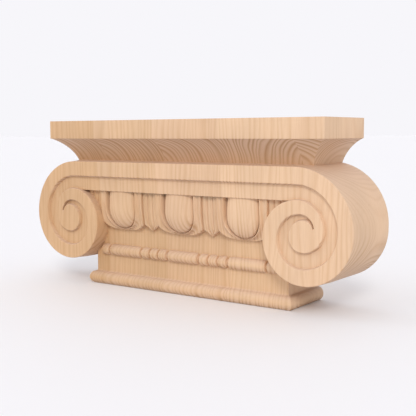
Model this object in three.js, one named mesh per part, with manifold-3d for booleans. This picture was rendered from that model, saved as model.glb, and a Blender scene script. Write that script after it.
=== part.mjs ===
// Ionic capital for a pilaster, carved in one piece with a flat back.
// Millimetres, +Z up, the front faces -Y, Z = 0 is the underside, Y = 0 is half the depth.
import * as THREE from "three";
import { mergeVertices } from "three/addons/utils/BufferGeometryUtils.js";
import Module from "manifold-3d";

const wasm = await Module();
wasm.setup();

// ---- driving dimensions ------------------------------------------------------------------
const DEPTH = 62.5; // abacus front to flat back
const BACK = DEPTH / 2;
const FRONT = -DEPTH / 2;

const ABACUS = { half: 131, bottom: 123.7, top: 138.6 };
const COVE = { lip: 0.8, run: 17.2, sag: 2.6, steps: 8 }; // hollow between abacus and bolster

const FACE = FRONT + 3.4; // front of the raised band
const CHANNEL = 3; // channel depth behind the band
const DRAFT = 0.9; // lean of the channel walls
const BAND_TOP = 104.7; // top of the bolster
const BAND_LOW = 92.5; // lower edge of the straight band
const CHANNEL_LOW = 80.4; // lower edge of the straight channel, top of the egg-and-dart

// Quarter arcs of each spiral, from the end of its straight run round to the eye.
const OUTER = { start: 106.5, z: BAND_TOP, radii: [45, 38.3, 32.6, 27.6, 20.7, 16, 11, 11.8, 7], last: 80 };
const INNER = { start: 107.6, z: BAND_LOW, radii: [32.1, 27.5, 20.2, 18.8, 11], last: 82 };
const ARC_STEPS = 9; // facets to a quarter arc
// How much the roll has grown above its front outline at each depth: [y, growth].
const SWELL = [[FACE + CHANNEL, 0], [FRONT + COVE.run, 1.1], [BACK, 1.8]];
const UNDER_SWELL = 0.5; // share of that growth on the roll's underside

const BODY = { half: 94.4, face: FRONT + 17.75, top: 82 };
const BASE = { swell: 5.2, contact: 2.3, height: 10.2, hollow: 1.6 }; // half-round foot moulding
const BASE_ARC = { from: -64, to: 74, steps: 8 }; // degrees of the half-round that show

// Egg-and-dart
const OVOLO = { bottom: 47.8, power: 2.3, steps: 9, half: 99 };
const PITCH = 59.2; // from egg to egg
const EGG = { half: 14.1, widest: 66.5, below: 16.2, above: 35, centre: 6, bulge: 4.6, tuck: 2.6 };
const SHELL = { outer: 22.2, inner: 15.7, bottom: 49.2, proud: 9.4 }; // U-shaped surround of an egg
const DART = { half: 7.7, tip: 49.2, shoulder: 54, proud: 7, rib: 2.2 };

// Bead-and-reel: half length of each bead and where it sits, right of the middle
const STRAND = { z: 30, radius: 4.8, neck: 2.7, nose: 0.8, crown: 0.35, rise: 1.6, sides: 20 };
const BEADS = [
  { at: 0, half: 14.4 },
  { at: 20.4, half: 3.8 },
  { at: 29.2, half: 3.8 },
  { at: 38, half: 3.8 },
  { at: 60.1, half: 16.4 },
  { at: 82, half: 4 },
];

// ---- solids ------------------------------------------------------------------------------
// A closed geometry as a solid that can be joined and cut.
function solid(geometry) {
  const g = geometry.index ? geometry.toNonIndexed() : geometry.clone();
  g.deleteAttribute("normal");
  g.deleteAttribute("uv");
  const merged = mergeVertices(g, 1e-4);
  return new wasm.Manifold(
    new wasm.Mesh({
      numProp: 3,
      vertProperties: new Float32Array(merged.attributes.position.array),
      triVerts: new Uint32Array(merged.index.array),
    }),
  );
}

const join = (list) => wasm.Manifold.union(list);
const shapeOf = (points) => new THREE.Shape(points.map(([x, y]) => new THREE.Vector2(x, y)));

// An outline in X and Z pushed forward from y = back to y = front.
function prism(outline, back, front) {
  const g = new THREE.ExtrudeGeometry(shapeOf(outline), { depth: back - front, bevelEnabled: false });
  return solid(g.rotateX(Math.PI / 2).translate(0, back, 0));
}

// A section in Y and Z run along X from -half to half.
function moulding(section, half) {
  const g = new THREE.ExtrudeGeometry(shapeOf(section), { depth: 2 * half, bevelEnabled: false });
  const axes = new THREE.Matrix4().makeBasis(
    new THREE.Vector3(0, 1, 0),
    new THREE.Vector3(0, 0, 1),
    new THREE.Vector3(1, 0, 0),
  );
  return solid(g.applyMatrix4(axes).translate(-half, 0, 0));
}

// Closed surface through rings of equal length, listed from one end to the other.
function skin(rings, capOutline) {
  const n = rings[0].length;
  const points = rings.flat();
  const index = [];
  for (let k = 0; k + 1 < rings.length; k++)
    for (let i = 0; i < n; i++) {
      const a = k * n + i;
      const b = k * n + ((i + 1) % n);
      index.push(a, b, b + n, a, b + n, a + n);
    }
  const end = (rings.length - 1) * n;
  for (const [a, b, c] of THREE.ShapeUtils.triangulateShape(capOutline, [])) {
    index.push(a, c, b);
    index.push(end + a, end + b, end + c);
  }
  const g = new THREE.BufferGeometry();
  g.setAttribute("position", new THREE.Float32BufferAttribute(points.flat(), 3));
  g.setIndex(index);
  return solid(g);
}

// A moulded block mitred round the front and both sides: levels of [half width, front, z].
function mitred(levels) {
  const ring = ([half, front, z]) => [
    [-half, front, z],
    [half, front, z],
    [half, BACK, z],
    [-half, BACK, z],
  ];
  const cap = ring(levels[0]).map(([x, y]) => new THREE.Vector2(x, y));
  return skin(levels.map(ring), cap);
}

// A solid through outlines in X and Z, each at its own depth, from the back forwards.
function layered(layers) {
  const rings = layers.map(({ outline, y }) => outline.map(([x, z]) => [x, y, z]));
  const cap = layers.at(-1).outline.map(([x, z]) => new THREE.Vector2(x, z));
  return skin(rings, cap);
}

// ---- core --------------------------------------------------------------------------------
// Abacus with the hollow below it.
function crown() {
  const { half, bottom, top } = ABACUS;
  const { lip, run, sag, steps } = COVE;
  const drop = bottom - BAND_TOP;
  const chord = Math.hypot(run - lip, drop);
  const radius = (chord * chord) / 8 / sag + sag / 2;
  const levels = [];
  for (let i = 0; i <= steps; i++) {
    const t = i / steps;
    const along = (t - 0.5) * chord;
    const bow = Math.sqrt(radius * radius - along * along) - (radius - sag);
    const inset = run + (lip - run) * t + (bow * drop) / chord;
    const z = BAND_TOP + drop * t + (bow * (run - lip)) / chord;
    levels.push([half - inset, FRONT + inset, z]);
  }
  const under = [[half - run, FRONT + run, BAND_TOP - 2]];
  return mitred([...under, ...levels, [half, FRONT, bottom + 0.01], [half, FRONT, top]]);
}

// Plain shaft block with the half-round moulding at its foot.
function body() {
  const { half, face, top } = BODY;
  const { swell, contact, height, hollow } = BASE;
  const from = THREE.MathUtils.degToRad(BASE_ARC.from);
  const to = THREE.MathUtils.degToRad(BASE_ARC.to);
  const arc = [];
  for (let i = 0; i <= BASE_ARC.steps; i++) {
    const a = from + ((to - from) * i) / BASE_ARC.steps;
    const share = (Math.cos(a) - Math.cos(from)) / (1 - Math.cos(from));
    arc.push([contact + (swell - contact) * share, height * (0.5 - Math.sin(a) / Math.sin(from) / 2)]);
  }
  const foot = arc.filter(([, z]) => z < height - 0.2);
  const rows = [...foot, [1.4, height], [0.4, height + 0.4], [0, height + hollow], [0, top]];
  return mitred(rows.map(([out, z]) => [half + out, face - out, z]));
}

// ---- bolster and volutes -----------------------------------------------------------------
// Points round a spiral of quarter arcs; each carries its centre's direction and turned angle.
function spiral({ start, z, radii, last }) {
  const points = [];
  let cx = start;
  let cz = z - radii[0];
  radii.forEach((r, i) => {
    const span = i === radii.length - 1 ? last : 90;
    for (let k = i ? 1 : 0; k <= ARC_STEPS; k++) {
      const turned = i * 90 + (span * k) / ARC_STEPS;
      const a = THREE.MathUtils.degToRad(90 - turned);
      const [ux, uz] = [Math.cos(a), Math.sin(a)];
      points.push({ x: cx + r * ux, z: cz + r * uz, ux, uz, turned });
    }
    if (i + 1 < radii.length) {
      const a = THREE.MathUtils.degToRad(90 - (i + 1) * 90);
      cx += (r - radii[i + 1]) * Math.cos(a);
      cz += (r - radii[i + 1]) * Math.sin(a);
    }
  });
  return points;
}

const outer = spiral(OUTER);
const inner = spiral(INNER);
const outerEnd = outer.at(-1).turned;
const innerEnd = inner.at(-1).turned;

// The same line moved sideways; the lean fades in past the free edge and out at the eye.
function leanOuter({ x, z, ux, uz, turned }) {
  const d = DRAFT * Math.min(1, Math.max(0, (turned - 335) / 40), Math.max(0, (outerEnd - turned) / 90));
  return [x + ux * d, z + uz * d];
}
function leanInner({ x, z, ux, uz, turned }) {
  const d = -DRAFT * Math.min(1, Math.max(0, (innerEnd - turned) / 80));
  return [x + ux * d, z + uz * d];
}

const bothSides = (half) => [...half, ...half.map(([x, z]) => [-x, z]).reverse()];

// The same line grown above and below, not to the sides.
function grown({ x, z, ux, uz, turned }, by) {
  const share = turned > 270 ? 0 : Math.max(uz, -UNDER_SWELL * uz);
  return [x + ux * by * share, z + uz * by * share];
}

// Solid bolster up to the channel floor, its ends rolled to the volute outline.
function bolster() {
  const free = outer.findIndex((p) => p.turned > 270 && p.z > CHANNEL_LOW);
  const a = outer[free - 1];
  const b = outer[free];
  const t = (CHANNEL_LOW - a.z) / (b.z - a.z);
  const end = [a.x + (b.x - a.x) * t, CHANNEL_LOW];
  const edge = (by) => [...outer.slice(0, free).map((p) => grown(p, by)), end];
  const layers = SWELL.map(([y, by]) => ({ outline: bothSides(edge(by)).reverse(), y }));
  return layered(layers.reverse());
}

// Raised band: one ribbon from eye to eye over the straight run, its walls leaning.
function band() {
  const inward = [...inner].reverse();
  const narrow = [...outer.map((p) => [p.x, p.z]), ...inward.map((p) => [p.x, p.z])];
  const wide = [...outer.map(leanOuter), ...inward.map(leanInner)];
  return layered([
    { outline: bothSides(wide).reverse(), y: FACE + CHANNEL + 0.02 },
    { outline: bothSides(narrow).reverse(), y: FACE },
  ]);
}

// Backing that closes the corner between the shaft block and each roll, under the channel.
function shoulders() {
  const { half } = OVOLO;
  return prism([[-half, 62], [half, 62], [half, BODY.top], [-half, BODY.top]], BACK, BODY.face);
}

// ---- egg-and-dart ------------------------------------------------------------------------
// Convex run under the channel, standing `proud` of the body face at its top.
function ovolo(proud) {
  const { bottom, power, steps, half } = OVOLO;
  const section = [[BODY.face + 8, bottom - 1]];
  for (let i = 0; i <= steps; i++) {
    const t = Math.cos((i / steps) * (Math.PI / 2));
    const out = proud * Math.pow(1 - Math.pow(t, power), 1 / power);
    section.push([BODY.face - out, CHANNEL_LOW - (CHANNEL_LOW - bottom) * t]);
  }
  section.push([BODY.face - proud, CHANNEL_LOW + 1], [BODY.face + 8, CHANNEL_LOW + 1]);
  return moulding(section.reverse(), half);
}

// U outline about x = at, open at the top.
function cup(at, half, bottom, shoulder, power = 2.4) {
  const points = [[at + half, CHANNEL_LOW + 2]];
  for (let i = 0; i <= 16; i++) {
    const a = (i / 16) * Math.PI;
    const c = Math.cos(a);
    const x = Math.sign(c) * Math.pow(Math.abs(c), 2 / power);
    const z = Math.pow(Math.sin(a), 2 / power);
    points.push([at + half * x, shoulder - (shoulder - bottom) * z]);
  }
  points.push([at - half, CHANNEL_LOW + 2]);
  return points.reverse();
}

function egg(at) {
  const g = new THREE.SphereGeometry(1, 22, 16);
  const p = g.attributes.position;
  const round = (v) => Math.sign(v) * Math.pow(Math.abs(v), 0.86);
  for (let i = 0; i < p.count; i++) {
    const [x, y, z] = [p.getX(i), p.getZ(i), p.getY(i)];
    p.setXYZ(
      i,
      at + EGG.half * x,
      BODY.face - EGG.centre + EGG.tuck * Math.min(z, 0) ** 2 + EGG.bulge * round(-y),
      EGG.widest + (z > 0 ? EGG.above : EGG.below) * z,
    );
  }
  return solid(g);
}

// Tongue between two surrounds: three ribs ending in a point.
function dart(at) {
  const { half, tip, shoulder, proud, rib } = DART;
  const top = CHANNEL_LOW + 2;
  const outline = [
    [at - half, top],
    [at - half, shoulder],
    [at - half * 0.55, shoulder - 2.2],
    [at - half * 0.3, tip + 1.4],
    [at, tip],
    [at + half * 0.3, tip + 1.4],
    [at + half * 0.55, shoulder - 2.2],
    [at + half, shoulder],
    [at + half, top],
  ].reverse();
  const tongue = prism(outline, BODY.face + 6, FRONT);
  const flutes = [-1, 1].map((side) => {
    const g = new THREE.CylinderGeometry(rib, rib, 60, 12).rotateX(Math.PI / 2);
    return solid(g.translate(at + side * half * 0.45, BODY.face - proud - rib * 0.55, 70));
  });
  return { tongue, flutes };
}

function eggAndDart() {
  const eggs = [-1, 0, 1].map((k) => k * PITCH);
  const darts = [-1.5, -0.5, 0.5, 1.5].map((k) => dart(k * PITCH));
  const below = prism(
    [[-110, CHANNEL_LOW + 1], [-110, 40], [110, 40], [110, CHANNEL_LOW + 1]], BACK, FRONT,
  );
  const outside = (x) => cup(x, SHELL.outer, OVOLO.bottom, 57);
  const inside = (x) => cup(x, SHELL.inner, SHELL.bottom, 66, 2.1);
  const shells = join(eggs.map((x) => prism(outside(x), BODY.face + 6, FRONT)));
  const wells = join(eggs.map((x) => prism(inside(x), BODY.face - 1.5, FRONT)));
  const tongues = join(darts.map((d) => d.tongue));
  const ribs = join(darts.flatMap((d) => d.flutes));
  const surround = ovolo(SHELL.proud).intersect(shells);
  const leaves = ovolo(DART.proud).intersect(tongues).subtract(ribs);
  return join([leaves, surround])
    .subtract(wells)
    .add(join(eggs.map(egg)).intersect(below));
}

// ---- bead-and-reel -----------------------------------------------------------------------
// Half outline of one bead from its end to its middle: [distance from the end, radius].
function beadEnd() {
  const { radius, neck, nose, crown, rise } = STRAND;
  const rim = radius - crown - neck;
  return [
    [0, neck],
    [nose * 0.3, neck + rim * 0.7],
    [nose, neck + rim],
    [nose + rise, radius],
  ];
}

function strand() {
  const beads = [...BEADS.slice(1).map((b) => ({ ...b, at: -b.at })).reverse(), ...BEADS];
  const profile = [[0, beads[0].at - beads[0].half]];
  beads.forEach(({ at, half }) => {
    beadEnd().forEach(([d, r]) => profile.push([r, at - half + d]));
    beadEnd().reverse().forEach(([d, r]) => profile.push([r, at + half - d]));
  });
  profile.push([0, beads.at(-1).at + beads.at(-1).half]);
  const g = new THREE.LatheGeometry(profile.map(([r, x]) => new THREE.Vector2(r, x)), STRAND.sides);
  return solid(g.rotateZ(-Math.PI / 2).translate(0, BODY.face, STRAND.z));
}

// ---- assembly ----------------------------------------------------------------------------
const carved = join([crown(), bolster(), band(), body(), shoulders(), eggAndDart(), strand()]);

function meshOf(shape, name) {
  const m = shape.getMesh();
  const g = new THREE.BufferGeometry();
  g.setAttribute("position", new THREE.Float32BufferAttribute(m.vertProperties, m.numProp));
  g.setIndex(new THREE.BufferAttribute(m.triVerts, 1));
  const mesh = new THREE.Mesh(g, new THREE.MeshStandardMaterial({ color: 0xd9b187 }));
  mesh.name = name;
  return mesh;
}

const group = new THREE.Group();
group.add(meshOf(carved, "capital"));

export default group;
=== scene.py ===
"""Ionic capital for a pilaster: the finished carving, its pale wood, and a plain studio round it.

Shapes are worked out in millimetres in the part's own frame (+Z up, the front faces -Y, Z = 0 is the
underside, Y = 0 is half the depth) and become metres when a mesh is made.
"""

import math

import bpy
import numpy as np
from mathutils import Matrix, Vector


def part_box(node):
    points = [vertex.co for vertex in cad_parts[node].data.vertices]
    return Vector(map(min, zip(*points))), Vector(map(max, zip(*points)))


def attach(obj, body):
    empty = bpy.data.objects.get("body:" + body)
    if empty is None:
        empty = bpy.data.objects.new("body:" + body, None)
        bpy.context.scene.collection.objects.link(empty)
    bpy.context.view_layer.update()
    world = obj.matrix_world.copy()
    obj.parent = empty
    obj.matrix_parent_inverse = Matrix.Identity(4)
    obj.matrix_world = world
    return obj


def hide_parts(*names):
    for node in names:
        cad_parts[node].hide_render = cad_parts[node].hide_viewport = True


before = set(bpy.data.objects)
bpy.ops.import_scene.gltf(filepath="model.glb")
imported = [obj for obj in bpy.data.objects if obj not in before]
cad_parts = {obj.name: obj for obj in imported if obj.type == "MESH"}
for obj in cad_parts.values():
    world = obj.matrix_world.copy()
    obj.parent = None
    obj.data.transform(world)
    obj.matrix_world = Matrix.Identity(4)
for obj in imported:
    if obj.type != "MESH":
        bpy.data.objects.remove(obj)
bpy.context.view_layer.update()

MM = 0.001
LOW, HIGH = (np.array(corner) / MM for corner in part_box("capital"))

# ---- driving dimensions, as in the CAD part ------------------------------------------------
FRONT, BACK, TOP = LOW[1], HIGH[1], HIGH[2]

ABACUS_HALF, ABACUS_LOW = 131.0, 123.7
COVE_LIP, COVE_RUN, COVE_SAG = 0.8, 17.2, 2.6

FACE = FRONT + 3.4  # front of the raised band
CHANNEL, DRAFT = 3.0, 0.9  # channel depth behind the band, and the lean of its walls
BAND_TOP, BAND_LOW, CHANNEL_LOW = 104.7, 92.5, 80.4

# Quarter arcs of each spiral, from the end of its straight run round to the eye
OUTER = {"start": 106.5, "z": BAND_TOP, "radii": (45, 38.3, 32.6, 27.6, 20.7, 16, 11, 11.8, 7), "last": 80}
INNER = {"start": 107.6, "z": BAND_LOW, "radii": (32.1, 27.5, 20.2, 18.8, 11), "last": 82}
# How much the roll has grown above its front outline at each depth: (y, growth)
SWELL = ((BACK, 1.8), (FRONT + COVE_RUN, 1.1), (FACE + CHANNEL, 0.0))
UNDER_SWELL = 0.5  # share of that growth on the roll's underside

BODY_HALF, BODY_FACE, BODY_TOP = 94.4, FRONT + 17.75, 82.0
FOOT_SWELL, FOOT_CONTACT, FOOT_HEIGHT, FOOT_HOLLOW = 5.2, 2.3, 10.2, 1.6
FOOT_ARC = (-64, 74)  # degrees of the half-round that show

OVOLO_LOW, OVOLO_POWER, OVOLO_HALF = 47.8, 2.3, 99.0
PITCH = 59.2  # from egg to egg
EGG_HALF, EGG_WIDEST, EGG_BELOW, EGG_ABOVE = 14.1, 66.5, 16.2, 35.0
EGG_CENTRE, EGG_BULGE, EGG_TUCK = 6.0, 4.6, 2.6
SHELL_OUTER, SHELL_INNER, SHELL_LOW, SHELL_PROUD = 22.2, 15.7, 49.2, 9.4
DART_HALF, DART_TIP, DART_SHOULDER, DART_PROUD = 7.7, 49.2, 54.0, 7.0

STRAND_Z, STRAND_RADIUS, STRAND_NECK = 30.0, 4.8, 2.7
BEAD_NOSE, BEAD_CROWN, BEAD_RISE = 0.8, 0.35, 1.6  # rounding of the ends, the swell and its length
BEADS = ((0, 14.4), (20.4, 3.8), (29.2, 3.8), (38, 3.8), (60.1, 16.4), (82, 4))  # place, half length

# ---- finer relief ---------------------------------------------------------------------------
ARRIS = 0.3  # rounding of the sanded edges
BACK_EASE = 0.1  # inset halfway round the roll's arris at the back
ROOTED = 3.0  # how far the egg-and-dart is sunk in the shaft's face

COVE_ROOT = ((0.6, -2.0), (0.4, -0.05))  # the hollow's foot, sunk in the bolster: (further in, rise)
FOOT_GAP = 0.2  # height kept clear between the half-round and the fillet over it
FOOT_TOP = ((1.4, 0.0), (0.75, 0.2), (0.3, 0.55), (0.06, 1.05))  # over the half-round: (out, rise)

SPIRAL_ROUND, SPIRAL_CAP = 0.55, 0.35  # rounding of the band's edges, and the flat strip inside it
# Degrees turned where the channel's wall starts to lean and over which it gains its full lean
LEAN_FROM, LEAN_OVER = 335, 40
OUTER_FADE, INNER_FADE = 90, 80  # degrees before the eye over which each wall's lean dies out
INSIDE, INSIDE_END = 3.0, 3.2  # how far the block behind the channel keeps inside the band
FLOOR_ROUND, FLOOR_CAP = 0.7, 0.4  # rounding of the channel floor's edge, and the strip inside it
SHOULDER_LOW = 62.0

HEADROOM = 1.6  # how far the surrounds run up into the bolster
# Outlines of the surround: (height of the shoulder, squareness)
SHELL_OUTSIDE, SHELL_INSIDE = (57.0, 2.4), (66.0, 2.1)
SHELL_EDGE, SHELL_ROUND, SHELL_WIDTH = 0.8, 0.7, 5.0  # depth of the outer wall, its arris, the width
# Across the surround, from 0 at its outside to 1 at its inside: a trough (share, depth) and a rim
# (share, height), then the well that the egg sits in (inset, depth)
SHELL_TROUGH = ((0.2, 0.25), (0.35, 0.75), (0.5, 1.05), (0.64, 1.0), (0.75, 0.45), (0.8, 0.0))
SHELL_RIM = ((0.84, 0.35), (0.9, 0.65), (0.95, 0.6), (1.0, 0.1))
SHELL_WELL = ((0.2, 1.1), (0.45, 2.6), (0.8, 4.2), (1.2, 5.6), (1.6, 6.5), (2.1, 7.0))
WELL_DROP, WELL_POWER = 0.6, 1.6  # how far below itself the well reads the convex run; how it shallows
EGG_SQUARE, EGG_FLAT = 0.85, 0.86  # powers that fill out the egg's sides and flatten its front
EGG_POLE, EGG_CUT = 0.02, 8.0  # radians left open at the poles, and the egg's reach above the channel

DART_POINT = ((DART_TIP, 0.25), (DART_TIP + 0.5, 1.0), (52.0, 3.9), (52.35, 4.6), (DART_SHOULDER, DART_HALF))
REEDS, REED_DEPTH, REED_DATUM = 3, 1.3, 0.6  # number, depth, and share of it below the dart's surface
REED_LEAST = 0.15  # share of the reeds' depth left at the dart's point
DART_LIFT = 0.5  # how far above itself the dart reads the convex run

# Past a bead's end, the string between beads: (distance, radius)
STRING = ((0.8, 1.2), (0.7, STRAND_NECK - 0.4), (0.2, STRAND_NECK))
BEAD_EASE = 0.05  # the swell's first step falls this much short of the full radius

# How finely curves are cut
ARRIS_STEPS, ARC_STEPS, SPIRAL_ROUND_STEPS, MOULDING_STEPS, CUP_STEPS, SIDE_STEPS = 4, 22, 5, 24, 56, 12
EGG_ROWS, EGG_COLUMNS, DART_COLUMNS, DART_ROWS, BEAD_SIDES, NOSE_STEPS = 40, 72, 43, 22, 40, 6
SMOOTH_ANGLE = 32  # edges sharper than this stay crisp
LEAST_REACH = 0.35  # keeps a sharp corner of an outline from shooting out when it is drawn in

# ---- camera ---------------------------------------------------------------------------------
CAMERA_AT = (367.48, -494.81, 127.59)
CAMERA_YAW, CAMERA_DOWN, CAMERA_ROLL = 35.595, 5.509, -0.222
CAMERA_LENS, CAMERA_SENSOR = 66.78, 36.0
CAMERA_CLIP = (0.01, 50)  # metres


# ---- closed meshes --------------------------------------------------------------------------
def mesh_object(name, points, faces):
    """A mesh object from points in millimetres."""
    mesh = bpy.data.meshes.new(name)
    mesh.from_pydata((np.asarray(points, float) * MM).tolist(), [], faces)
    mesh.validate()
    piece = bpy.data.objects.new(name, mesh)
    bpy.context.scene.collection.objects.link(piece)
    return piece


def skin(rings):
    """Points and faces of the closed surface through rings of equal length, capped at both ends."""
    count = len(rings[0])
    faces = []
    for k in range(len(rings) - 1):
        for i in range(count):
            a, b = k * count + i, k * count + (i + 1) % count
            faces.append((a, b, b + count, a + count))
    last = (len(rings) - 1) * count
    faces.append(tuple(range(count))[::-1])
    faces.append(tuple(range(last, last + count)))
    return np.concatenate(rings), faces


def several(parts):
    """Points and faces of separate closed shells, as one list."""
    points, faces, start = [], [], 0
    for p, f in parts:
        points.append(p)
        faces += [tuple(i + start for i in face) for face in f]
        start += len(p)
    return np.concatenate(points), faces


def moved(part, x):
    """The same part, further along X."""
    points, faces = part
    return points + (x, 0, 0), faces


def drawn_in(outline, inset):
    """A closed X-Z outline with each point moved towards its inside. The outline runs anticlockwise."""
    ahead = np.roll(outline, -1, axis=0) - outline
    ahead /= np.linalg.norm(ahead, axis=1, keepdims=True)
    normal = np.stack([-ahead[:, 1], ahead[:, 0]], axis=1)
    before = np.roll(normal, 1, axis=0)
    mean = normal + before
    mean /= np.linalg.norm(mean, axis=1, keepdims=True)
    reach = np.maximum((mean * before).sum(axis=1), LEAST_REACH)
    return outline + mean * (np.asarray(inset) / reach)[:, None]


def at_depth(outline, y):
    """An X-Z outline as points at a depth, or each at its own."""
    return np.column_stack([outline[:, 0], np.broadcast_to(y, len(outline)), outline[:, 1]])


def layered(outline, levels):
    """Closed solid through copies of an outline: each level is (inset, y), from the back forwards."""
    count = len(outline)
    return skin([at_depth(drawn_in(outline, np.broadcast_to(d, count)), y) for d, y in levels])


def rounded(radius, steps=ARRIS_STEPS):
    """(across, down) of a quarter-round arris, from the wall to the face."""
    angles = np.linspace(0, math.pi / 2, steps + 1)
    return [(radius * (1 - math.cos(a)), radius * (1 - math.sin(a))) for a in angles]


# ---- core -----------------------------------------------------------------------------------
def plan(half, front, radius):
    """Plan of a block: straight across the back, its two front corners rounded."""
    turn = np.linspace(0, math.pi / 2, ARRIS_STEPS + 1)
    left = [(-half + radius * (1 - math.sin(a)), front + radius * (1 - math.cos(a))) for a in turn]
    right = [(-x, y) for x, y in left]
    return [(-half, BACK)] + left[::-1] + right + [(half, BACK)]


def mitred(levels, corner):
    """Moulded block mitred round the front and both sides: levels of (half width, front, z)."""
    return skin([np.array([(x, y, z) for x, y in plan(half, front, corner)]) for half, front, z in levels])


def crown():
    """Abacus and the hollow below it."""
    drop = ABACUS_LOW - BAND_TOP
    across = COVE_RUN - COVE_LIP
    chord = math.hypot(across, drop)
    radius = chord * chord / 8 / COVE_SAG + COVE_SAG / 2
    profile = [(COVE_RUN + further, BAND_TOP + rise) for further, rise in COVE_ROOT]
    for t in np.linspace(0, 1, MOULDING_STEPS + 1):
        along = (t - 0.5) * chord
        bow = math.sqrt(radius**2 - along**2) - (radius - COVE_SAG)
        inset = COVE_RUN - across * t + bow * drop / chord
        profile.append((inset, BAND_TOP + drop * t + bow * across / chord))
    lower = [(d, ABACUS_LOW + h) for h, d in rounded(ARRIS)]
    upper = [(d, TOP - h) for d, h in rounded(ARRIS)]
    profile += lower[1:] + upper
    return mitred([(ABACUS_HALF - d, FRONT + d, z) for d, z in profile], ARRIS)


def shaft():
    """Plain block with the half-round moulding at its foot."""
    start, end = (math.radians(a) for a in FOOT_ARC)
    profile = []
    for a in np.linspace(start, end, MOULDING_STEPS + 1):
        share = (math.cos(a) - math.cos(start)) / (1 - math.cos(start))
        out = FOOT_CONTACT + (FOOT_SWELL - FOOT_CONTACT) * share
        profile.append((out, FOOT_HEIGHT * (0.5 - math.sin(a) / 2 / math.sin(start))))
    profile = [(out, z) for out, z in profile if z < FOOT_HEIGHT - FOOT_GAP]
    profile += [(out, FOOT_HEIGHT + rise) for out, rise in FOOT_TOP]
    profile += [(0, FOOT_HEIGHT + FOOT_HOLLOW), (0, BODY_TOP)]
    return mitred([(BODY_HALF + out, BODY_FACE - out, z) for out, z in profile], ARRIS)


# ---- bolster and volutes --------------------------------------------------------------------
def spiral(start, z, radii, last):
    """(points, turned angle in degrees) round a spiral of quarter arcs."""
    points, turned = [], []
    centre = np.array([start, z - radii[0]])
    for i, radius in enumerate(radii):
        span = last if i == len(radii) - 1 else 90
        for k in range(1 if i else 0, ARC_STEPS + 1):
            degrees = i * 90 + span * k / ARC_STEPS
            angle = math.radians(90 - degrees)
            points.append(centre + radius * np.array([math.cos(angle), math.sin(angle)]))
            turned.append(degrees)
        if i + 1 < len(radii):
            angle = math.radians(90 - (i + 1) * 90)
            centre = centre + (radius - radii[i + 1]) * np.array([math.cos(angle), math.sin(angle)])
    return np.array(points), np.array(turned)


def growth(turned):
    """Share of the roll's growth at each turned angle: above and below, not to the sides."""
    up = np.cos(np.radians(turned))
    return np.where(turned > 270, 0.0, np.maximum(up, -UNDER_SWELL * up))


def both_sides(right):
    """The right half's points followed by their mirror images, back to the start."""
    left = right[::-1] * (-1, 1)
    return np.concatenate([right, left])


def volutes():
    """Raised band and its two volutes, right through to the back."""
    outer, turned = spiral(**OUTER)
    inner, inner_turned = spiral(**INNER)
    outer_lean = np.clip((turned - LEAN_FROM) / LEAN_OVER, 0, 1)
    outer_lean = outer_lean * np.clip((turned[-1] - turned) / OUTER_FADE, 0, 1)
    inner_lean = np.clip((inner_turned[-1] - inner_turned) / INNER_FADE, 0, 1)
    grown = growth(turned)
    outline = np.concatenate([outer[::-1], (-1, 1) * outer, (-1, 1) * inner[::-1], inner])
    lean = np.concatenate([outer_lean[::-1], outer_lean, inner_lean[::-1], inner_lean])
    grown = np.concatenate([grown[::-1], grown, np.zeros(2 * len(inner))])

    most, front = SWELL[0][1], SWELL[-1][0]
    levels = [(ARRIS / 2 - most * grown, BACK), (BACK_EASE - most * grown, BACK - ARRIS / 2)]
    levels += [(-size * grown, min(y, BACK - ARRIS)) for y, size in SWELL[:-1]]
    levels.append((-DRAFT * lean, front))
    for across, down in rounded(SPIRAL_ROUND, SPIRAL_ROUND_STEPS):
        levels.append((across - DRAFT * lean * down / CHANNEL, FACE + down))
    levels.append((SPIRAL_ROUND + SPIRAL_CAP, FACE))
    return layered(outline, levels)


def bolster():
    """Block behind the channel, kept inside the raised band's outline."""
    outer, turned = spiral(**OUTER)
    free = int(np.argmax((turned > 270) & (outer[:, 1] > CHANNEL_LOW)))
    run = outer[:free]
    ahead = np.gradient(run, axis=0)
    ahead /= np.linalg.norm(ahead, axis=1, keepdims=True)
    inside = run + INSIDE * np.stack([ahead[:, 1], -ahead[:, 0]], axis=1)
    right = np.concatenate([inside[:-1], [(outer[free][0] + INSIDE_END, CHANNEL_LOW)]])
    floor = FACE + CHANNEL
    levels = [(0, BACK), (0, floor + FLOOR_ROUND)]
    levels += [(across, floor + down) for across, down in rounded(FLOOR_ROUND)[1:]]
    levels.append((FLOOR_ROUND + FLOOR_CAP, floor))
    return layered(both_sides(right)[::-1], levels)


def shoulders():
    """Backing that closes the corner between the shaft block and each roll."""
    corners = [(-1, SHOULDER_LOW), (1, SHOULDER_LOW), (1, BODY_TOP), (-1, BODY_TOP)]
    outline = np.array([(side * OVOLO_HALF, z) for side, z in corners])
    return layered(outline, [(0, BACK), (0, BODY_FACE)])


# ---- egg-and-dart ---------------------------------------------------------------------------
def ovolo_out(proud, z):
    """How far the convex run stands out of the shaft's face at height z."""
    t = np.clip((CHANNEL_LOW - np.asarray(z, float)) / (CHANNEL_LOW - OVOLO_LOW), 0, 1)
    return proud * (1 - t**OVOLO_POWER) ** (1 / OVOLO_POWER)


def cup(half, low, shoulder, power):
    """U-shaped outline about X = 0, anticlockwise, closed along the top inside the bolster."""
    angles = np.linspace(-math.pi, 0, CUP_STEPS + 1)
    x = half * np.sign(np.cos(angles)) * np.abs(np.cos(angles)) ** (2 / power)
    z = shoulder - (shoulder - low) * np.abs(np.sin(angles)) ** (2 / power)
    rise = np.linspace(shoulder, CHANNEL_LOW + HEADROOM, SIDE_STEPS + 1)[1:]
    left = np.column_stack([np.full(SIDE_STEPS, -half), rise[::-1]])
    right = np.column_stack([np.full(SIDE_STEPS, half), rise])
    return np.concatenate([left, np.column_stack([x, z]), right])


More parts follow.
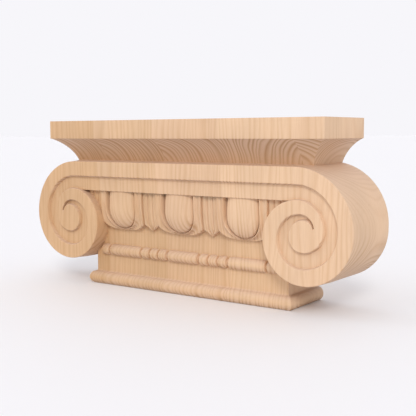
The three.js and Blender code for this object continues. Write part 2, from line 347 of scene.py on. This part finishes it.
def shell():
    """U-shaped surround of one egg, with its trough, its rim and the well the egg sits in."""
    outside = cup(SHELL_OUTER, OVOLO_LOW, *SHELL_OUTSIDE)
    inside = cup(SHELL_INNER, SHELL_LOW, *SHELL_INSIDE)

    def between(share, add):
        ring = outside * (1 - share) + inside * share
        return at_depth(ring, BODY_FACE - ovolo_out(SHELL_PROUD, ring[:, 1]) - add)

    rings = [at_depth(outside, BODY_FACE + ROOTED), between(0, -SHELL_EDGE)]
    rings += [between(across / SHELL_WIDTH, -down) for across, down in rounded(SHELL_ROUND)]
    rings += [between(share, -dip) for share, dip in SHELL_TROUGH]
    rings += [between(share, rise) for share, rise in SHELL_RIM]
    for inset, dip in SHELL_WELL:
        ring = drawn_in(inside, np.full(len(inside), inset))
        out = ovolo_out(SHELL_PROUD, ring[:, 1] - WELL_DROP)
        rings.append(at_depth(ring, BODY_FACE - out + dip * (out / SHELL_PROUD) ** WELL_POWER))
    return skin(rings)


def egg():
    """One egg about X = 0, flattened in front."""
    rings = []
    across = np.linspace(0, 2 * math.pi, EGG_COLUMNS, endpoint=False)
    for polar in np.linspace(EGG_POLE, math.pi - EGG_POLE, EGG_ROWS):
        x = np.sin(polar) ** EGG_SQUARE * np.cos(across)
        y = np.sin(polar) * np.sin(across)
        z = math.cos(polar)
        bulge = np.sign(y) * np.abs(y) ** EGG_FLAT
        height = EGG_WIDEST + (EGG_ABOVE if z > 0 else EGG_BELOW) * z
        centre = BODY_FACE - EGG_CENTRE + EGG_TUCK * min(z, 0) ** 2
        outline = np.column_stack([EGG_HALF * x, np.full(EGG_COLUMNS, height)])
        rings.append(at_depth(outline, centre + EGG_BULGE * bulge))
    return skin([ring for ring in rings if ring[0, 2] < CHANNEL_LOW + EGG_CUT])


def dart():
    """Tongue between two surrounds: three reeds ending in a point."""
    u = np.linspace(-1, 1, DART_COLUMNS)
    reed = np.sqrt(np.clip(1 - ((((u + 1) * REEDS / 2) % 1) * 2 - 1) ** 2, 0, 1))
    reed[-1] = 0
    rows = list(DART_POINT)
    rows += [(z, DART_HALF) for z in np.linspace(DART_SHOULDER + 1, CHANNEL_LOW + 1, DART_ROWS)]
    rings = []
    for z, half in rows:
        depth = REED_DEPTH * min(1.0, half / DART_HALF + REED_LEAST)
        y = BODY_FACE - ovolo_out(DART_PROUD, z + DART_LIFT) - depth * (reed - REED_DATUM)
        front = np.column_stack([u * half, y, np.full(DART_COLUMNS, z)])
        behind = np.array([(half, BODY_FACE + ROOTED, z), (-half, BODY_FACE + ROOTED, z)])
        rings.append(np.concatenate([front, behind]))
    return skin(rings)


# ---- bead-and-reel --------------------------------------------------------------------------
def bead(half):
    """One turned bead about X = 0, its ends rounded down to the string between beads."""
    turn = np.linspace(0, math.pi / 2, NOSE_STEPS + 1)
    profile = [(-half - past, r) for past, r in STRING]
    swell = STRAND_RADIUS - BEAD_CROWN - STRAND_NECK
    profile += [(-half + BEAD_NOSE * (1 - math.cos(a)), STRAND_NECK + swell * math.sin(a)) for a in turn]
    profile.append((-half + BEAD_NOSE + BEAD_RISE, STRAND_RADIUS - BEAD_EASE))
    profile += [(-x, r) for x, r in profile[::-1]]
    angles = np.linspace(0, 2 * math.pi, BEAD_SIDES, endpoint=False)
    rings = []
    for x, r in profile:
        outline = np.column_stack([np.full(BEAD_SIDES, x), STRAND_Z + r * np.sin(angles)])
        rings.append(at_depth(outline, BODY_FACE + r * np.cos(angles)))
    return skin(rings)


def strand():
    """The beads, each mirrored about the middle."""
    return [moved(bead(half), place) for at, half in BEADS for place in sorted({at, -at})]


# ---- joining --------------------------------------------------------------------------------
def joined(name, solids):
    """One closed mesh from solids that overlap, each given as (points, faces)."""
    whole = mesh_object(name, *solids[0])
    for points, faces in solids[1:]:
        cutter = mesh_object(name + "_part", points, faces)
        union = whole.modifiers.new("join", "BOOLEAN")
        union.operation, union.solver, union.object = "UNION", "MANIFOLD", cutter
        graph = bpy.context.evaluated_depsgraph_get()
        made = bpy.data.meshes.new_from_object(whole.evaluated_get(graph))
        whole.modifiers.clear()
        whole.data = made
        bpy.data.objects.remove(cutter)
    return whole


def capital():
    """The whole carving, its curved surfaces shaded smooth."""
    solids = [
        shaft(),
        crown(),
        bolster(),
        volutes(),
        shoulders(),
        several([moved(dart(), PITCH * k) for k in (-1.5, -0.5, 0.5, 1.5)]),
        several([moved(shell(), PITCH * k) for k in (-1, 0, 1)]),
        several([moved(egg(), PITCH * k) for k in (-1, 0, 1)]),
    ]
    solids += strand()
    piece = joined("capital_carving", solids)
    piece.data.shade_smooth()
    piece.data.set_sharp_from_angle(angle=math.radians(SMOOTH_ANGLE))
    return piece


# ---- material -------------------------------------------------------------------------------
MIX_INPUTS, MIX_RESULT = (0, 6, 7), 2  # sockets of a colour mix: share and the two colours; the result


class Nodes:
    """Short calls for building a node tree."""

    def __init__(self, owner):
        owner.use_nodes = True
        self.tree = owner.node_tree
        self.tree.nodes.clear()

    def feed(self, node, key, value):
        """Link a socket to an input, or set a plain value on it."""
        if isinstance(value, bpy.types.NodeSocket):
            self.tree.links.new(value, node.inputs[key])
        else:
            node.inputs[key].default_value = value

    def add(self, kind, inputs=None, **settings):
        node = self.tree.nodes.new(kind)
        for key, value in settings.items():
            setattr(node, key, value)
        for key, value in (inputs or {}).items():
            self.feed(node, key, value)
        return node

    def math(self, operation, *values):
        return self.add("ShaderNodeMath", dict(enumerate(values)), operation=operation).outputs[0]

    def noise(self, vector, scale, detail=2.0):
        inputs = {"Vector": vector, "Scale": scale, "Detail": detail, "Roughness": 0.5}
        return self.add("ShaderNodeTexNoise", inputs).outputs["Fac"]

    def combine(self, x, y, z):
        return self.add("ShaderNodeCombineXYZ", {"X": x, "Y": y, "Z": z}).outputs[0]

    def scaled(self, axes, scales):
        """A place with each axis multiplied by its own scale."""
        return self.combine(*(self.math("MULTIPLY", axis, by) for axis, by in zip(axes, scales)))

    def span(self, value, start, end):
        """0 at start to 1 at end, and held beyond both."""
        inputs = {"Value": value, "From Min": start, "From Max": end}
        return self.add("ShaderNodeMapRange", inputs).outputs[0]

    def line(self, value, base, gain):
        """base + gain * value."""
        return self.math("ADD", base, self.math("MULTIPLY", value, gain))

    def ramp(self, value, stops, steps="LINEAR"):
        node = self.add("ShaderNodeValToRGB", {"Fac": value})
        node.color_ramp.interpolation = steps
        marks = node.color_ramp.elements
        while len(marks) < len(stops):
            marks.new(0.5)
        for mark, (place, shade) in zip(marks, stops):
            mark.position = place
            mark.color = (*shade, 1)
        return node.outputs["Color"]

    def mix(self, share, a, b, blend="MIX"):
        node = self.add("ShaderNodeMix", data_type="RGBA", blend_type=blend)
        for key, value in zip(MIX_INPUTS, (share, a, b)):
            self.feed(node, key, value)
        return node.outputs[MIX_RESULT]


BOARD_WIDTH, BOARD_JOINT = 62.0, 44.0  # width of the glued boards, and the place of one glue line
FIRST_BOARD = 3.5  # added to a board's number, puts it in the middle of its share of the tints
# One tint to each board, from left to right
BOARD_TINTS = ((0.835, 0.775, 0.665), (0.89, 0.86, 0.80), (0.94, 0.92, 0.90), (0.99, 0.99, 0.98), (1, 1, 1))

EARLY, LATE = (0.80, 0.56, 0.37, 1), (0.63, 0.375, 0.195, 1)
END_GRAIN, END_RING = (0.62, 0.45, 0.345, 1), (0.40, 0.245, 0.15, 1)
FIBRE = (0.60, 0.37, 0.21, 1)
# painted shade: a darker, warmer tint for deep recesses, in place of their shade and bounced light
RECESS_SHADE_TINT = (0.94, 0.92, 0.86, 1)

TREE_ASIDE = 90.0  # between the two places a tree's middle can take across its board
TREE_NEAR, TREE_SPREAD = -5.0, 45.0  # least depth of a tree's middle, and how much deeper it can lie
SWAY_SCALE, SWAY = (0.02, 0.02, 0.008), 16.0  # slow waver of the rings: how fine, how far
UNEVEN_SCALE, UNEVEN = 0.11, 9.0  # unevenness of the gaps between rings: how fine, how far
RING_GAP = 3.1
# Darkness across one ring, from late wood to the next late wood
RING_LINE = ((0.0, 1.0), (0.16, 0.35), (0.32, 0.0), (0.62, 0.12), (0.9, 0.75), (1.0, 1.0))
FADE_ACROSS, FADE_ALONG, FADE_SCALE = 0.06, 0.01, 1.7  # some rings are fainter than others
FRONT_GRAIN, SIDE_LOSS, HOLLOW_GAIN = 0.78, 0.35, 1.9  # ring strength: front, less at sides, more below
FIBRE_SCALE, FIBRE_FLOOR, FIBRE_SHARE = (1.6, 1.6, 0.07), 0.42, 0.9
DRIFT_SCALE, TONE_LOW, TONE_SPAN = (0.035, 0.035, 0.02), 0.86, 0.24
RECESS_SHADE_FROM = 5.0  # depth behind the band at which the painted recess shade starts
END_POWER, END_SHARE = 1.5, 0.7
FIBRE_BUMP = {"Strength": 0.12, "Distance": 0.0002}
WOOD_FINISH = {"Roughness": 0.58, "Specular IOR Level": 0.3}
FLOOR_FINISH = {"Roughness": 0.6, "Specular IOR Level": 0.1}


def ring_distance(n, place, board):
    """Distance from the middle of the board's own tree, wavering and unevenly spaced."""
    x, y, _ = place
    odds = n.add("ShaderNodeTexWhiteNoise", {"W": board}, noise_dimensions="1D").outputs["Color"]
    odd = n.add("ShaderNodeSeparateColor", {0: odds}).outputs
    side = n.math("SUBTRACT", n.math("GREATER_THAN", odd[0], 0.5), 0.5)
    middle = n.line(n.math("ADD", board, 0.5), BOARD_JOINT, BOARD_WIDTH)
    off_x = n.math("SUBTRACT", x, n.line(side, middle, TREE_ASIDE))
    off_y = n.math("SUBTRACT", y, n.line(odd[1], TREE_NEAR, TREE_SPREAD))
    square = n.math("ADD", n.math("MULTIPLY", off_x, off_x), n.math("MULTIPLY", off_y, off_y))
    sway = n.noise(n.scaled(place, SWAY_SCALE), 1.0)
    far = n.line(sway, n.math("SQRT", square), SWAY)
    uneven = n.noise(n.combine(n.math("MULTIPLY", far, UNEVEN_SCALE), board, 0.0), 1.0, detail=1.0)
    return n.line(uneven, far, UNEVEN)


def ring_strength(n, place, board, across, upward):
    """Share of late wood at each place, stronger on surfaces that face down."""
    far = ring_distance(n, place, board)
    ring = n.math("FRACT", n.math("DIVIDE", far, RING_GAP))
    line = n.ramp(ring, [(share, (dark, dark, dark)) for share, dark in RING_LINE])
    along = n.math("MULTIPLY", place[2], FADE_ALONG)
    fade = n.noise(n.combine(n.math("MULTIPLY", far, FADE_ACROSS), board, along), FADE_SCALE)
    hollow = n.math("MAXIMUM", n.math("MULTIPLY", upward, -HOLLOW_GAIN), 0.0)
    slant = n.math("SUBTRACT", n.math("ADD", FRONT_GRAIN, hollow), n.math("MULTIPLY", across, SIDE_LOSS))
    return n.math("MULTIPLY", line, n.math("MULTIPLY", fade, slant))


def wood():
    """Pale close-grained hardwood: growth rings about upright axes, one tree to each glued board."""
    material = bpy.data.materials.new("pale_hardwood")
    n = Nodes(material)
    metres = n.add("ShaderNodeTexCoord").outputs["Object"]
    scaled = n.add("ShaderNodeVectorMath", {0: metres, "Scale": 1 / MM}, operation="SCALE").outputs[0]
    axes = n.add("ShaderNodeSeparateXYZ", {0: scaled}).outputs
    place = tuple(axes[k] for k in range(3))
    normal = n.add("ShaderNodeSeparateXYZ", {0: n.add("ShaderNodeNewGeometry").outputs["Normal"]}).outputs
    across, steep = n.math("ABSOLUTE", normal[0]), n.math("ABSOLUTE", normal[2])
    board = n.math("FLOOR", n.math("DIVIDE", n.math("SUBTRACT", place[0], BOARD_JOINT), BOARD_WIDTH))

    strength = ring_strength(n, place, board, across, normal[2])
    colour = n.mix(strength, EARLY, LATE)

    # Fine fibre along the grain, and slow drifts of tone
    fibre = n.noise(n.scaled(place, FIBRE_SCALE), 1.0, detail=3.0)
    fibre_share = n.math("MULTIPLY", n.math("SUBTRACT", fibre, FIBRE_FLOOR), FIBRE_SHARE)
    colour = n.mix(fibre_share, colour, FIBRE)
    tone = n.line(n.noise(n.scaled(place, DRIFT_SCALE), 1.0), TONE_LOW, TONE_SPAN)
    grey = n.add("ShaderNodeCombineColor", {0: tone, 1: tone, 2: tone}).outputs[0]
    colour = n.mix(1.0, colour, grey, "MULTIPLY")

    share = n.math("DIVIDE", n.math("ADD", board, FIRST_BOARD), len(BOARD_TINTS))
    stops = [(k / len(BOARD_TINTS), tint) for k, tint in enumerate(BOARD_TINTS)]
    colour = n.mix(1.0, colour, n.ramp(share, stops, "CONSTANT"), "MULTIPLY")

    # Painted shade: deep carving is made a little darker and warmer, standing in for the shade and warm
    # bounced light in the recesses
    facing = n.math("SUBTRACT", 1.0, n.math("MAXIMUM", across, steep))
    recess_shade = n.math("MULTIPLY", n.span(place[1], FACE + RECESS_SHADE_FROM, BODY_FACE), facing)
    colour = n.mix(recess_shade, colour, n.mix(1.0, colour, RECESS_SHADE_TINT, "MULTIPLY"))

    # End grain is greyer, with its own darker rings
    end = n.math("MULTIPLY", n.math("POWER", steep, END_POWER), END_SHARE)
    colour = n.mix(end, colour, n.mix(strength, END_GRAIN, END_RING))

    bump = n.add("ShaderNodeBump", {**FIBRE_BUMP, "Height": fibre}).outputs[0]
    shader = n.add("ShaderNodeBsdfPrincipled", {"Base Color": colour, **WOOD_FINISH, "Normal": bump})
    n.add("ShaderNodeOutputMaterial", {"Surface": shader.outputs[0]})
    return material


# ---- studio ---------------------------------------------------------------------------------
SKY = (0.93, 0.922, 0.957, 1)
FRONT_DIM, RIGHT_DIM = 0.4, 0.6  # how much dimmer the sky is low in front, and low at the right
FRONT_SPAN, RIGHT_SPAN, LOW_SPAN = (0.1, -0.7), (0.1, 0.7), (0.8, 0.0)  # where each starts, and is full
# Suns: name, where from, strength, width in degrees, colour
SUNS = (
    ("key", (0.5, -0.75, 0.6), 1.15, 18, (1, 0.98, 0.95)),
    ("fill", (-0.8, -0.4, 0.4), 0.35, 40, (1, 0.99, 0.98)),
)
FLOOR_COLOUR = (0.85, 0.85, 0.865, 1)
FLOOR_HALF = 40.0  # metres


def camera():
    """Camera at the object's front right, looking a little down on it."""
    yaw, down, roll = (math.radians(a) for a in (CAMERA_YAW, CAMERA_DOWN, CAMERA_ROLL))
    ahead = Vector((-math.sin(yaw) * math.cos(down), math.cos(yaw) * math.cos(down), -math.sin(down)))
    level = Vector((math.cos(yaw), math.sin(yaw), 0))
    above = level.cross(ahead)
    right = level * math.cos(roll) + above * math.sin(roll)
    up = above * math.cos(roll) - level * math.sin(roll)
    turn = Matrix((right, up, -ahead)).transposed().to_4x4()
    data = bpy.data.cameras.new("camera")
    data.lens, data.sensor_width = CAMERA_LENS, CAMERA_SENSOR
    data.clip_start, data.clip_end = CAMERA_CLIP
    piece = bpy.data.objects.new("camera", data)
    bpy.context.scene.collection.objects.link(piece)
    piece.matrix_world = Matrix.Translation(Vector(CAMERA_AT) * MM) @ turn
    bpy.context.scene.camera = piece


def ground():
    """Plain pale floor."""
    corners = [(FLOOR_HALF * a, FLOOR_HALF * b, 0) for a, b in ((-1, -1), (1, -1), (1, 1), (-1, 1))]
    mesh = bpy.data.meshes.new("floor")
    mesh.from_pydata(corners, [], [(0, 1, 2, 3)])
    floor = bpy.data.objects.new("floor", mesh)
    bpy.context.scene.collection.objects.link(floor)
    material = bpy.data.materials.new("pale_floor")
    n = Nodes(material)
    shader = n.add("ShaderNodeBsdfPrincipled", {"Base Color": FLOOR_COLOUR, **FLOOR_FINISH})
    n.add("ShaderNodeOutputMaterial", {"Surface": shader.outputs[0]})
    mesh.materials.append(material)


def sky():
    """Even pale sky, dimmer low in front and low at the right."""
    world = bpy.data.worlds.new("studio")
    bpy.context.scene.world = world
    n = Nodes(world)
    way = n.add("ShaderNodeSeparateXYZ", {0: n.add("ShaderNodeTexCoord").outputs["Generated"]}).outputs
    before = n.math("MULTIPLY", n.span(way[1], *FRONT_SPAN), FRONT_DIM)
    right = n.math("MULTIPLY", n.span(way[0], *RIGHT_SPAN), RIGHT_DIM)
    dim = n.math("MULTIPLY", n.span(way[2], *LOW_SPAN), n.math("MAXIMUM", before, right))
    light = n.add("ShaderNodeBackground", {"Color": SKY, "Strength": n.math("SUBTRACT", 1.0, dim)})
    n.add("ShaderNodeOutputWorld", {"Surface": light.outputs[0]})


def suns():
    """Two wide, soft suns."""
    for name, place, power, width, colour in SUNS:
        data = bpy.data.lights.new(name, "SUN")
        data.energy, data.angle, data.color = power, math.radians(width), colour
        lamp = bpy.data.objects.new(name, data)
        bpy.context.scene.collection.objects.link(lamp)
        lamp.rotation_euler = Vector(place).to_track_quat("Z", "Y").to_euler()


camera()
ground()
sky()
suns()
bpy.context.scene.view_settings.view_transform = "Standard"
carving = capital()
carving.data.materials.clear()
carving.data.materials.append(wood())
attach(carving, "root")
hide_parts("capital")
